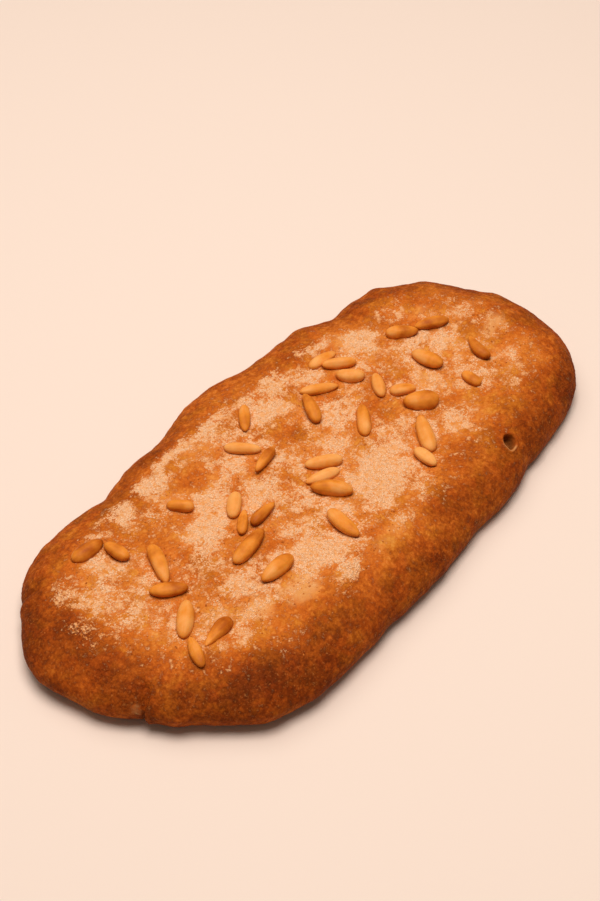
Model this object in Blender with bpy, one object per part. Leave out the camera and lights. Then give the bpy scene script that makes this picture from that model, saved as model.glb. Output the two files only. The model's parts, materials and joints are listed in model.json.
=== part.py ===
"""A pine nut coca: one long oval flatbread, baked golden brown, with toasted pine nuts half sunk in its crust.

The bread lies flat on z = 0 with its long axis along X. The origin is at the middle of its footprint.
"""

from math import atan2, cos, exp, hypot, pi, radians, sin

import bmesh
import bpy
from mathutils import Euler, Vector

MM = 0.001

# ---- the loaf -------------------------------------------------------------
HALF_LENGTH = 146.5 * MM
HALF_WIDTH = 71.7 * MM
OUTLINE_POWER = 2.47        # 2 is an ellipse, more is squarer at the corners
TOP_HEIGHT = 21.5 * MM      # the crust over the middle of the loaf
EQUATOR_HEIGHT = 9.0 * MM   # the widest level of the rim
RIM_RISE = 1.2 * MM         # the puffed roll of crust just inside the rim
RIM_CREST_INSET = 21.0 * MM
RIM_CREST_SPREAD = 11.0 * MM
SHOULDER_INSET = 27.0 * MM  # how far in from the rim the top has levelled out
SHOULDER_POWER = 2.1
FOOT_INSET = 11.0 * MM      # how far the rolled rim stands out over the flat foot

# Where hand stretching left the rim fuller or tighter than a true oval:
# place along the rim as a share of its length, anticlockwise from the +X end; spread and swell in mm.
RIM_LOBES = (
    (0.033, 14.0, -3.5),    # flat spot on the +X end
    (0.136, 15.0, -5.6),    # hollow before the far shoulder
    (0.197, 20.0, -4.5),
    (0.288, 17.0, -5.2),    # hollow past the middle of the far side
    (0.340, 25.0, -6.5),
    (0.404, 19.0, 4.1),     # full far corner of the -X end
    (0.467, 16.5, 2.1),
    (0.541, 26.0, -6.0),    # drawn-in corner that holds the fold
    (0.634, 30.0, 6.4),     # full belly of the near side
    (0.785, 20.5, -3.0),
    (0.847, 24.0, -3.7),    # waist before the +X end
    (0.925, 24.0, 2.7),
)

# Soft swells and hollows of the top: centre x, y, half length, half width (mm), heading (deg), rise (mm).
TOP_SWELLS = (
    (-30.0, -54.0, 20.0, 5.5, 5.0, -1.8),     # finger trough along the near shoulder
    (-84.0, -27.0, 12.0, 8.0, 0.0, -1.6),     # pit with a sunken nut
    (62.0, -30.0, 20.0, 10.0, 20.0, -0.9),
    (10.0, -20.0, 45.0, 20.0, 0.0, -0.7),
    (-60.0, 10.0, 40.0, 22.0, 0.0, 0.8),
    (100.0, 5.0, 26.0, 30.0, 0.0, 0.9),
    (30.0, 30.0, 30.0, 14.0, -10.0, 0.6),
    (-105.0, 30.0, 22.0, 16.0, 40.0, 0.5),
)

RIM_STEPS = 96
SHOULDER_RINGS = (0.0, 1.2, 3.6, 8.0, 13.5, 20.0, 27.0)   # mm in from the rim, over the top
PLATEAU_RINGS = (0.78, 0.53, 0.27)                        # shares of the last shoulder ring
FOOT_RINGS = (22.0, 45.0, 68.0, 90.0)                     # degrees round the roll under the rim
SOLE_RINGS = (0.5,)

# ---- marks in the crust ---------------------------------------------------
PIN_HOLE = dict(place=(66.6, -53.6), length=7.8, width=5.5, heading=30.0, depth=5.0)   # open blister, a blind hole
FOLD = dict(place=(-133.0, -27.0), heading=-146.0, width=2.2, reach=3.6, height=18.0)   # seam of the folded dough
CREASE = dict(place=(-126.5, 47.5), heading=143.0, width=2.0, reach=2.4, height=14.0)   # wrinkle on the -X end

# ---- pine nuts ------------------------------------------------------------
NUT_GAP = 0.35 * MM         # clear space round each nut in its seat
NUT_TAPER = 0.22            # how much fuller the blunt end is
NUT_BLUNTNESS = 2.3
NUT_THICKNESS = 0.88        # thickness over width
NUT_SIDES = 8
NUT_RINGS = 6

# x, y (mm), heading of the blunt end (deg), length, width (mm), tilt of the blunt end (deg),
# height of the nut's axis above the crust (mm)
NUTS = (
    (86.8, 20.7, 138, 15.0, 6.5, 0, 1.5),
    (100.0, 14.0, -33, 16.5, 6.0, 1, 1.4),
    (80.4, 1.5, -80, 15.5, 7.5, 0, 1.6),
    (101.0, -11.3, -111, 16.0, 6.2, -1, 1.1),
    (83.6, -20.4, -96, 10.5, 5.8, -1, 0.7),
    (50.5, 37.2, 171, 15.5, 5.5, 1, 0.2),
    (52.9, 29.6, -38, 15.5, 5.5, -2, 1.5),
    (50.3, 21.1, -51, 13.0, 6.9, -1, 1.3),
    (35.0, 26.4, 145, 17.5, 5.0, 1, 0.9),
    (23.3, 21.1, -120, 17.5, 6.6, -2, 1.8),
    (53.6, 8.0, -128, 14.2, 5.8, -1, 1.5),
    (58.8, -1.5, 143, 12.0, 6.0, 0, 0.8),
    (58.2, -11.9, -41, 16.0, 9.2, -1, 1.5),
    (33.4, 0.2, -137, 18.0, 6.6, -1, 0.6),
    (44.0, -25.1, -129, 22.0, 7.2, 1, 1.4),
    (32.5, -33.8, 79, 13.0, 5.6, -4, 1.5),
    (0.8, 39.7, 43, 15.0, 5.0, 3, 0.5),
    (-13.1, 28.6, 128, 16.0, 5.5, 2, 0.7),
    (-12.3, 16.9, 12, 15.5, 5.2, -1, 1.2),
    (3.0, -2.6, -36, 16.5, 6.5, -1, 1.1),
    (-3.0, -7.1, -21, 16.0, 5.5, -1, 0.5),
    (-6.7, -14.9, -56, 18.0, 7.5, -1, 1.9),
    (-40.0, 9.5, 36, 14.0, 6.2, -1, 1.2),
    (-44.4, 0.9, -143, 13.0, 4.8, 0, 0.7),
    (-35.9, -2.4, -177, 15.0, 5.5, 1, 1.6),
    (-52.5, -9.5, -172, 21.0, 6.8, 0, 1.5),
    (-18.5, -30.6, 80, 18.5, 6.9, -2, 1.7),
    (-53.8, -25.5, -3, 17.5, 7.2, 0, 1.4),
    (-54.3, 26.4, -53, 11.5, 5.8, -2, 0.9),
    (-96.2, 38.3, 174, 15.5, 7.2, 0, 0.4),
    (-88.9, 29.1, -86, 12.5, 5.9, -3, 1.3),
    (-82.6, 11.9, 61, 20.5, 6.9, 1, 1.1),
    (-89.8, -0.2, 138, 15.5, 6.3, 0, 1.4),
    (-96.1, -14.7, -142, 18.8, 7.2, 1, 1.1),
    (-91.9, -27.8, 9, 17.5, 6.6, -7, 0.3),
    (-105.3, -28.8, -118, 14.5, 5.2, -3, 0.6),
)
TOASTED = (1, 3, 18, 24, 29, 32)     # nuts that the oven browned most, counted from 0

CRUST_COLOUR = (0.47, 0.19, 0.055)
NUT_COLOUR = (0.72, 0.38, 0.12)
TOASTED_COLOUR = (0.60, 0.24, 0.05)


def clear_scene():
    for old in list(bpy.data.objects):
        bpy.data.objects.remove(old, do_unlink=True)


def material(name, colour, roughness):
    made = bpy.data.materials.new(name)
    made.use_nodes = True
    shader = made.node_tree.nodes["Principled BSDF"]
    shader.inputs["Base Color"].default_value = (*colour, 1.0)
    shader.inputs["Roughness"].default_value = roughness
    shader.inputs["Metallic"].default_value = 0.0
    made.diffuse_color = (*colour, 1.0)
    return made


# ---- the loaf's outline, as (point, outward direction) by place along the rim --------------
def oval(step, steps):
    bearing = 2 * pi * step / steps
    reach = (abs(cos(bearing) / HALF_LENGTH) ** OUTLINE_POWER + abs(sin(bearing) / HALF_WIDTH) ** OUTLINE_POWER) ** (-1 / OUTLINE_POWER)
    return Vector((reach * cos(bearing), reach * sin(bearing), 0.0))


class Outline:
    STEPS = 720

    def __init__(self):
        self.base = [oval(k, self.STEPS) for k in range(self.STEPS)]
        self.run = [0.0]
        for k in range(self.STEPS):
            self.run.append(self.run[-1] + (self.base[(k + 1) % self.STEPS] - self.base[k]).length)
        self.length = self.run[-1]
        self.middle = Vector((0.0, 0.0, 0.0))
        self.rim = self.trace()
        self.middle = Vector(((min(p.x for p in self.rim) + max(p.x for p in self.rim)) / 2,
                              (min(p.y for p in self.rim) + max(p.y for p in self.rim)) / 2, 0.0))
        self.rim = self.trace()

    def trace(self):
        return [self.at(self.run[k] / self.length)[0] for k in range(self.STEPS)]

    def at(self, share):
        """The rim point, with the footprint's middle at the origin, and the outward direction, at a share of the rim's length."""
        wanted = (share % 1.0) * self.length
        low, high = 0, self.STEPS
        while high - low > 1:
            middle = (low + high) // 2
            if self.run[middle] <= wanted:
                low = middle
            else:
                high = middle
        part = (wanted - self.run[low]) / (self.run[low + 1] - self.run[low])
        point = self.base[low].lerp(self.base[(low + 1) % self.STEPS], part)
        before = (self.base[(low + 1) % self.STEPS] - self.base[low - 1]).normalized()
        after = (self.base[(low + 2) % self.STEPS] - self.base[low]).normalized()
        along = before.lerp(after, part).normalized()
        outward = Vector((along.y, -along.x, 0.0))
        swell = 0.0
        for place, spread, amount in RIM_LOBES:
            gap = (wanted - place * self.length + self.length / 2) % self.length - self.length / 2
            swell += amount * MM * exp(-((gap / (spread * MM)) ** 2))
        return point + outward * swell - self.middle, outward

    def inset(self, x, y):
        """How far a point lies inside the rim."""
        best = 1.0
        for k in range(self.STEPS):
            a, b = self.rim[k], self.rim[(k + 1) % self.STEPS]
            dx, dy = b.x - a.x, b.y - a.y
            part = max(0.0, min(1.0, ((x - a.x) * dx + (y - a.y) * dy) / (dx * dx + dy * dy)))
            best = min(best, hypot(x - a.x - part * dx, y - a.y - part * dy))
        return best


def crust_height(x, y, inset):
    """Height of the top crust."""
    level = TOP_HEIGHT + RIM_RISE * exp(-(((inset - RIM_CREST_INSET) / RIM_CREST_SPREAD) ** 2))
    for cx, cy, half_length, half_width, heading, rise in TOP_SWELLS:
        c, s = cos(radians(heading)), sin(radians(heading))
        u = ((x - cx * MM) * c + (y - cy * MM) * s) / (half_length * MM)
        v = (-(x - cx * MM) * s + (y - cy * MM) * c) / (half_width * MM)
        level += rise * MM * exp(-(u * u + v * v))
    if inset >= SHOULDER_INSET:
        return level
    drop = 1.0 - inset / SHOULDER_INSET
    return EQUATOR_HEIGHT + (level - EQUATOR_HEIGHT) * (1.0 - drop ** SHOULDER_POWER) ** (1.0 / SHOULDER_POWER)


def loaf_point(outline, share, ring):
    """One point of the loaf's skin: ring 0 is the innermost ring of the top."""
    rim, outward = outline.at(share)
    tops = len(PLATEAU_RINGS) + len(SHOULDER_RINGS)
    if ring < len(PLATEAU_RINGS):
        edge = rim - outward * SHOULDER_INSET
        point = edge * sorted(PLATEAU_RINGS)[ring]
        inset = SHOULDER_INSET + (edge - point).length
        return Vector((point.x, point.y, crust_height(point.x, point.y, inset)))
    if ring < tops:
        inset = sorted(SHOULDER_RINGS, reverse=True)[ring - len(PLATEAU_RINGS)] * MM
        point = rim - outward * inset
        return Vector((point.x, point.y, crust_height(point.x, point.y, inset)))
    ring -= tops
    if ring < len(FOOT_RINGS):
        turn = radians(FOOT_RINGS[ring])
        point = rim - outward * (FOOT_INSET * (1.0 - cos(turn)))
        return Vector((point.x, point.y, max(0.0, EQUATOR_HEIGHT * (1.0 - sin(turn)))))
    point = (rim - outward * FOOT_INSET) * SOLE_RINGS[ring - len(FOOT_RINGS)]
    return Vector((point.x, point.y, 0.0))


def build_loaf(outline, name, skin, home):
    """A ball whose rings of latitude are laid over the loaf's top, shoulder, rim, foot and sole."""
    rings = len(PLATEAU_RINGS) + len(SHOULDER_RINGS) + len(FOOT_RINGS) + len(SOLE_RINGS)
    bm = bmesh.new()
    bmesh.ops.create_uvsphere(bm, u_segments=RIM_STEPS, v_segments=rings + 1, radius=1.0)
    for vert in bm.verts:
        x, y, z = vert.co
        if hypot(x, y) < 1e-6:
            middle = outline.inset(0.0, 0.0)
            vert.co = Vector((0.0, 0.0, crust_height(0.0, 0.0, middle) if z > 0 else 0.0))
            continue
        share = (atan2(y, x) / (2 * pi)) % 1.0
        latitude = atan2(hypot(x, y), z) / pi
        ring = round(latitude * (rings + 1)) - 1
        vert.co = loaf_point(outline, share, ring)
    mesh = bpy.data.meshes.new(name)
    bm.to_mesh(mesh)
    bm.free()
    loaf = bpy.data.objects.new(name, mesh)
    mesh.materials.append(skin)
    mesh.shade_smooth()
    home.objects.link(loaf)
    return loaf


# ---- nuts -------------------------------------------------------------------------------------
def nut_girth(t):
    """Half width of a nut, as a share of its greatest, at t from -1 (tip) to 1 (blunt end)."""
    def raw(s):
        return (1.0 - abs(s) ** NUT_BLUNTNESS) ** 0.5 * (1.0 + NUT_TAPER * s)
    return raw(t) / max(raw(k / 50.0) for k in range(-49, 50))


def nut_mesh(name, length, width, extra=0.0):
    """A tear-shaped kernel along X with its blunt end at +X; extra grows it all round."""
    bm = bmesh.new()
    bmesh.ops.create_uvsphere(bm, u_segments=NUT_SIDES, v_segments=NUT_RINGS, radius=1.0)
    half = length / 2 + extra
    for vert in bm.verts:
        x, y, z = vert.co
        around = hypot(x, y)
        if around < 1e-6:
            vert.co = Vector((half if z > 0 else -half, 0.0, 0.0))
            continue
        girth = nut_girth(z) * (width / 2) + extra
        vert.co = Vector((z * half, x / around * girth, y / around * girth * NUT_THICKNESS))
    mesh = bpy.data.meshes.new(name)
    bm.to_mesh(mesh)
    bm.free()
    return mesh


def place_nut(outline, thing, row):
    x, y, heading, _, _, tilt, raised = row
    crust = crust_height(x * MM, y * MM, outline.inset(x * MM, y * MM))
    thing.location = (x * MM, y * MM, crust + raised * MM)
    thing.rotation_euler = Euler((0.0, -radians(tilt), radians(heading)), "XYZ")


def cutter(thing, tools):
    thing.display_type = "WIRE"
    thing.hide_render = True
    tools.objects.link(thing)
    return thing


def ball_cutter(name, tools, place, size, heading=0.0, lean=0.0):
    """An oval ball, with its three sizes across X, Y and Z before it is turned."""
    bm = bmesh.new()
    bmesh.ops.create_uvsphere(bm, u_segments=12, v_segments=8, radius=0.5)
    for vert in bm.verts:
        vert.co = Vector((vert.co.x * size[0], vert.co.y * size[1], vert.co.z * size[2]))
    mesh = bpy.data.meshes.new(name)
    bm.to_mesh(mesh)
    bm.free()
    thing = bpy.data.objects.new(name, mesh)
    thing.location = place
    thing.rotation_euler = Euler((0.0, radians(lean), radians(heading)), "XYZ")
    return cutter(thing, tools)


def main():
    clear_scene()
    scene = bpy.context.scene
    home = bpy.data.collections.new("pine_nut_coca")
    tools = bpy.data.collections.new("cutters")
    scene.collection.children.link(home)
    scene.collection.children.link(tools)
    outline = Outline()
    crust = material("baked_crust", CRUST_COLOUR, 0.75)

    loaf = build_loaf(outline, "coca_bread", crust, home)
    root = bpy.data.objects.new("pine_nut_coca", None)
    home.objects.link(root)
    loaf.parent = root

    for k, row in enumerate(NUTS):
        name = f"pine_nut_{k + 1:02d}"
        toasted = k in TOASTED
        length, width = row[3] * MM, row[4] * MM
        nut = bpy.data.objects.new(name, nut_mesh(name, length, width))
        nut.data.materials.append(material(name + "_skin", TOASTED_COLOUR if toasted else NUT_COLOUR, 0.5))
        nut.data.shade_smooth()
        home.objects.link(nut)
        place_nut(outline, nut, row)
        nut.parent = root
        seat = bpy.data.objects.new(f"seat_{k + 1:02d}", nut_mesh(f"seat_{k + 1:02d}", length, width, NUT_GAP))
        place_nut(outline, seat, row)
        cutter(seat, tools)

    px, py = (v * MM for v in PIN_HOLE["place"])
    skin = crust_height(px, py, outline.inset(px, py))
    size = (PIN_HOLE["length"] * MM, PIN_HOLE["width"] * MM, 2 * PIN_HOLE["depth"] * MM)
    ball_cutter("pin_hole_cut", tools, (px, py, skin), size, heading=PIN_HOLE["heading"])
    for name, mark in (("fold_cut", FOLD), ("crease_cut", CREASE)):
        x, y = (v * MM for v in mark["place"])
        ball_cutter(name, tools, (x, y, EQUATOR_HEIGHT + 1.0 * MM),
                    (2 * mark["reach"] * MM, mark["width"] * MM, mark["height"] * MM), heading=mark["heading"])

    cut = loaf.modifiers.new("seats and marks", "BOOLEAN")
    cut.operation = "DIFFERENCE"
    cut.solver = "EXACT"
    cut.operand_type = "COLLECTION"
    cut.collection = tools


main()
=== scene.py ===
import json
from math import atan2, cos, exp, pi, radians, sin, sqrt, tan

import bmesh
import bpy
import numpy as np
from mathutils import Matrix, Vector
from mathutils.kdtree import KDTree

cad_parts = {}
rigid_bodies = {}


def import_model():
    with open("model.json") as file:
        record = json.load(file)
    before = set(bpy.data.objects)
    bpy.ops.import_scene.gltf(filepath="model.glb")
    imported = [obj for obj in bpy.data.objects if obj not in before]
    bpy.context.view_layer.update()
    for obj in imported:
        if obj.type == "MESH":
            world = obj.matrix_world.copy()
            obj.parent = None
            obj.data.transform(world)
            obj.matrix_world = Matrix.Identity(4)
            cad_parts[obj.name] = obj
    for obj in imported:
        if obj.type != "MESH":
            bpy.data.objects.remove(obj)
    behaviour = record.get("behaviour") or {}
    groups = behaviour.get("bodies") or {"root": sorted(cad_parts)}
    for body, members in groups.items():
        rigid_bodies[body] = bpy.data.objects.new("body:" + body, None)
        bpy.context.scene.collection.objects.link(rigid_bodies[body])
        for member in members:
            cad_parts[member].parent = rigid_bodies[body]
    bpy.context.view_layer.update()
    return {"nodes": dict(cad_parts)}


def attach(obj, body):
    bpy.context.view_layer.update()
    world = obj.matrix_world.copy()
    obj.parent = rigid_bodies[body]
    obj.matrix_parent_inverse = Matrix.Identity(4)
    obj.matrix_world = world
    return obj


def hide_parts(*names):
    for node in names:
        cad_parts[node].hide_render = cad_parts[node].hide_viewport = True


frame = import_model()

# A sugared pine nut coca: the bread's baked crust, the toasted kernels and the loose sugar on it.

MM = 0.001
RNG = np.random.default_rng(20240611)


# =============================================================================================
# Smooth random fields
# =============================================================================================
def _mix(ix, iy, iz, seed):
    h = (ix.astype(np.int64) * 73856093) ^ (iy.astype(np.int64) * 19349663) ^ (iz.astype(np.int64) * 83492791) ^ (seed * 2654435761 & 0x7FFFFFFF)
    h = (h ^ (h >> 13)) & 0x7FFFFFFF
    h = (h * 1274126177) & 0x7FFFFFFF
    return h ^ (h >> 16)


def noise3(p, seed):
    """Gradient noise, about -1 to 1, at points p of shape (n, 3)."""
    base = np.floor(p).astype(np.int64)
    f = p - base
    w = f * f * f * (f * (f * 6 - 15) + 10)
    total = np.zeros(len(p))
    for dx in (0, 1):
        for dy in (0, 1):
            for dz in (0, 1):
                h = _mix(base[:, 0] + dx, base[:, 1] + dy, base[:, 2] + dz, seed)
                a = (h & 0xFFFF) / 65535.0 * 2 * pi
                c = ((h >> 12) & 0xFFFF) / 65535.0 * 2 - 1
                s = np.sqrt(np.maximum(0, 1 - c * c))
                g = s * np.cos(a) * (f[:, 0] - dx) + s * np.sin(a) * (f[:, 1] - dy) + c * (f[:, 2] - dz)
                total += g * (w[:, 0] if dx else 1 - w[:, 0]) * (w[:, 1] if dy else 1 - w[:, 1]) * (w[:, 2] if dz else 1 - w[:, 2])
    return total * 1.6


def fractal(p, size, octaves, seed, gain=0.5):
    """Noise whose broadest features are size (mm) apart."""
    out, amount, scale = np.zeros(len(p)), 1.0, 1.0 / size
    for k in range(octaves):
        out += amount * noise3(p * scale, seed + 17 * k)
        amount *= gain
        scale *= 2.03
    return out


def ease(x, low, high):
    t = np.clip((x - low) / (high - low), 0, 1)
    return t * t * (3 - 2 * t)


# =============================================================================================
# The loaf: outline and heights, in mm
# =============================================================================================
HALF_LENGTH, HALF_WIDTH, OUTLINE_POWER = 146.5, 71.7, 2.47
TOP_HEIGHT, EQUATOR, RIM_RISE = 21.5, 9.0, 1.2
RIM_CREST_INSET, RIM_CREST_SPREAD = 21.0, 11.0
SHOULDER, SHOULDER_POWER, FOOT = 27.0, 2.1, 11.0
SPINE = 78.0
FOOT_BY_SHARE = (  # share of the rim, how far the sole stays in, height of the widest line
    (0.00, 6.0, 7.5), (0.12, 8.0, 8.5), (0.30, 9.0, 9.0), (0.45, 10.0, 9.0), (0.56, 11.0, 9.0), (0.63, 10.5, 9.0),
    (0.70, 7.0, 8.5), (0.76, 5.0, 7.5), (0.86, 4.5, 7.0), (0.94, 5.0, 7.0),
)
LOBES = (  # place along the rim (share, from +X, anticlockwise), spread, swell
    (0.033, 14.0, -3.5), (0.136, 15.0, -5.6), (0.197, 20.0, -4.5), (0.288, 17.0, -5.2), (0.340, 25.0, -6.5),
    (0.404, 19.0, 4.1), (0.467, 16.5, 2.1), (0.541, 26.0, -6.0), (0.634, 30.0, 6.4), (0.785, 20.5, -3.0),
    (0.847, 24.0, -3.7), (0.925, 24.0, 2.7),
    # small knuckles of the hand-stretched rim
    (0.096, 4.5, 0.8), (0.169, 4.6, -0.7), (0.250, 7.0, 0.6), (0.307, 4.0, -0.3), (0.319, 2.6, 0.6),
    (0.343, 3.4, -0.8), (0.357, 2.7, 0.4), (0.570, 14.0, 1.6), (0.576, 9.0, -2.2),
    (0.030, 45.0, 1.2), (0.0125, 5.0, 0.6), (0.0625, 6.0, 0.8), (0.094, 9.0, 1.2), (0.120, 5.0, 0.3), (0.1375, 5.0, -0.7),
    (0.157, 8.0, 1.1), (0.2125, 5.0, -0.9), (0.232, 6.0, 0.45), (0.297, 13.0, 0.6), (0.3625, 12.0, 1.4), (0.388, 8.0, 0.8),
    (0.430, 22.0, 0.45), (0.487, 8.0, 0.35), (0.515, 9.0, 0.55), (0.553, 6.0, -1.2), (0.566, 12.0, -0.9), (0.610, 7.0, 1.3),
    (0.700, 6.0, -0.8), (0.740, 40.0, -0.55), (0.790, 14.0, -0.45), (0.850, 5.0, -0.5), (0.930, 20.0, 0.6), (0.957, 10.0, 1.4),
    (0.985, 9.0, 0.4), (0.500, 8.0, -0.5), (0.544, 8.0, -0.7), (0.5875, 7.0, -0.4), (0.650, 8.0, -0.4), (0.706, 9.0, -0.4),
    (0.760, 16.0, -0.35), (0.798, 11.0, -0.55), (0.850, 7.0, -0.4), (0.975, 5.0, -0.6), (0.9125, 8.0, 0.3),
    (0.100, 5.0, 0.6), (0.125, 5.0, 0.3), (0.1625, 6.0, 0.4), (0.200, 8.0, 0.35), (0.2375, 5.0, 0.3), (0.6125, 8.0, 0.45),
    (0.6375, 5.0, 0.3), (0.6875, 8.0, 0.5),
)
SWELLS = (  # x, y, half length, half width, heading, rise
    (-30.0, -54.0, 20.0, 5.5, 5.0, -1.8), (-84.0, -27.0, 12.0, 8.0, 0.0, -1.6), (62.0, -30.0, 20.0, 10.0, 20.0, -0.9),
    (10.0, -20.0, 45.0, 20.0, 0.0, -0.7), (-60.0, 10.0, 40.0, 22.0, 0.0, 0.8), (100.0, 5.0, 26.0, 30.0, 0.0, 0.9),
    (30.0, 30.0, 30.0, 14.0, -10.0, 0.6), (-105.0, 30.0, 22.0, 16.0, 40.0, 0.5),
)
FOLD_SHARE, FOLD_STEP = 0.544, 1.0       # the dough laps over itself at the -X end
CREASE_SHARE = 0.428                     # wrinkle at the other corner of that end
PIN_HOLE = (66.6, -53.6, 2.75, 3.9, 5.0)   # x, y, half width, half length, depth
PIN_HEADING = 30.0


class Rim:
    STEPS = 2880

    def __init__(self):
        b = 2 * pi * np.arange(self.STEPS) / self.STEPS
        r = (np.abs(np.cos(b) / HALF_LENGTH) ** OUTLINE_POWER + np.abs(np.sin(b) / HALF_WIDTH) ** OUTLINE_POWER) ** (-1 / OUTLINE_POWER)
        self.base = np.stack([r * np.cos(b), r * np.sin(b)], 1)
        step = np.linalg.norm(np.roll(self.base, -1, 0) - self.base, axis=1)
        self.run = np.concatenate([[0], np.cumsum(step)])
        self.length = self.run[-1]
        along = np.roll(self.base, -1, 0) - np.roll(self.base, 1, 0)
        along /= np.linalg.norm(along, axis=1)[:, None]
        self.out = np.stack([along[:, 1], -along[:, 0]], 1)
        self.middle = np.zeros(2)
        pts, _ = self.at(np.arange(self.STEPS) / self.STEPS, fine=False)
        self.middle = (pts.min(0) + pts.max(0)) / 2

    def _pick(self, table, share):
        grid = self.run / self.length
        wrapped = np.concatenate([table, table[:1]])
        return np.stack([np.interp(share % 1.0, grid, wrapped[:, k]) for k in range(2)], 1)

    def at(self, share, fine=True):
        share = np.asarray(share, float)
        point, out = self._pick(self.base, share), self._pick(self.out, share)
        out /= np.linalg.norm(out, axis=1)[:, None]
        swell = np.zeros(len(share))
        for place, spread, amount in (LOBES if fine else LOBES[:12]):
            gap = self.gap(share, place)
            swell += amount * np.exp(-((gap / spread) ** 2))
        if fine:
            gap = self.gap(share, FOLD_SHARE)
            swell += FOLD_STEP * ease(gap, -0.6, 1.9) * np.exp(-np.maximum(gap, 0) / 16.0)
        return point + out * swell[:, None] - self.middle, out

    def gap(self, share, place):
        """Signed way along the rim, in mm."""
        return ((share - place + 0.5) % 1.0 - 0.5) * self.length


RIM = Rim()


def foot_at(share):
    """The sole's inset and the height of the widest line, round the rim."""
    s, inset, height = (np.array(v) for v in zip(*FOOT_BY_SHARE))
    s = np.concatenate([s - 1, s, s + 1])
    blur = np.linspace(-0.03, 0.03, 9)
    pick = lambda v: np.mean([np.interp((share + b) % 1.0, s, np.tile(v, 3)) for b in blur], 0)
    return pick(inset), pick(height)


def level(x, y, inset):
    z = TOP_HEIGHT + RIM_RISE * np.exp(-(((inset - RIM_CREST_INSET) / RIM_CREST_SPREAD) ** 2))
    for cx, cy, hl, hw, heading, rise in SWELLS:
        z = z + rise * oval(x, y, cx, cy, hl, hw, heading)
    return z


def oval(x, y, cx, cy, hl, hw, heading=0.0):
    c, s = cos(radians(heading)), sin(radians(heading))
    u = ((x - cx) * c + (y - cy) * s) / hl
    v = (-(x - cx) * s + (y - cy) * c) / hw
    return np.exp(-(u * u + v * v))


# =============================================================================================
# Kernels: their places come from the frame's own nodes
# =============================================================================================
KERNEL_FORM = {   # bluntness, taper, bend (share of the length; toward the kernel's own left when it points blunt end first)
    1: (2.3, 0.20, 0.00), 2: (2.1, 0.16, 0.00), 3: (2.2, 0.10, 0.00), 4: (2.4, 0.42, -0.06), 5: (2.7, 0.05, 0.00),
    6: (2.2, 0.16, 0.00), 7: (3.0, 0.06, 0.00), 8: (2.4, 0.05, -0.065), 9: (2.3, 0.12, 0.01), 10: (2.2, 0.26, 0.02),
    11: (2.1, 0.06, 0.00), 12: (2.5, 0.12, 0.00), 13: (2.5, 0.16, 0.00), 14: (2.9, 0.12, 0.01), 15: (2.7, 0.22, -0.01),
    16: (2.5, 0.08, 0.00), 17: (2.5, 0.10, 0.01), 18: (2.7, 0.08, 0.00), 19: (2.2, 0.22, 0.02), 20: (2.8, 0.14, 0.00),
    21: (2.1, 0.16, 0.00), 22: (2.0, 0.12, 0.02), 23: (2.9, 0.05, 0.01), 24: (2.2, 0.16, 0.00), 25: (2.3, 0.26, -0.03),
    26: (2.4, 0.14, 0.01), 27: (2.5, 0.14, 0.02), 28: (2.2, 0.16, 0.00), 29: (3.0, 0.06, 0.00), 30: (2.4, 0.10, 0.01),
    31: (2.3, 0.14, 0.00), 32: (2.3, 0.16, -0.02), 33: (2.0, 0.06, 0.00), 34: (2.0, 0.04, 0.01), 35: (2.4, 0.48, 0.00),
    36: (2.0, 0.18, -0.01),
}


def kernel_frames():
    found = []
    for name in sorted(n for n in frame["nodes"] if n.startswith("pine_nut_")):
        co = np.array([v.co for v in frame["nodes"][name].data.vertices], float) / MM
        d = np.linalg.norm(co[:, None] - co[None], axis=2)
        i, j = np.unravel_index(d.argmax(), d.shape)
        a, b = co[i], co[j]
        length = float(np.linalg.norm(b - a))
        middle, axis = (a + b) / 2, (b - a) / length
        along = (co - middle) @ axis
        away = np.linalg.norm((co - middle) - along[:, None] * axis, axis=1)
        if away[along > 0.15 * length].mean() < away[along < -0.15 * length].mean():   # axis points to the blunt end
            axis = -axis
        side = np.cross([0, 0, 1.0], axis)
        side /= np.linalg.norm(side)
        up = np.cross(axis, side)
        width = float(np.abs((co - middle) @ side).max() * 2)
        thick = float(np.abs((co - middle) @ up).max() * 2)
        form = KERNEL_FORM.get(int(name[-2:]), (2.4, 0.20, 0.0))
        found.append(dict(name=name, middle=middle, axis=axis, side=side, up=up, length=length, width=width, thick=thick, form=form))
    return found


KERNELS = kernel_frames()


def girth(t, form=(2.3, 0.22, 0.0)):
    raw = lambda s: np.sqrt(np.maximum(0, 1 - np.abs(s) ** form[0])) * (1 + form[1] * s)
    return raw(t) / raw(np.linspace(-1, 1, 201)).max()


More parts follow.
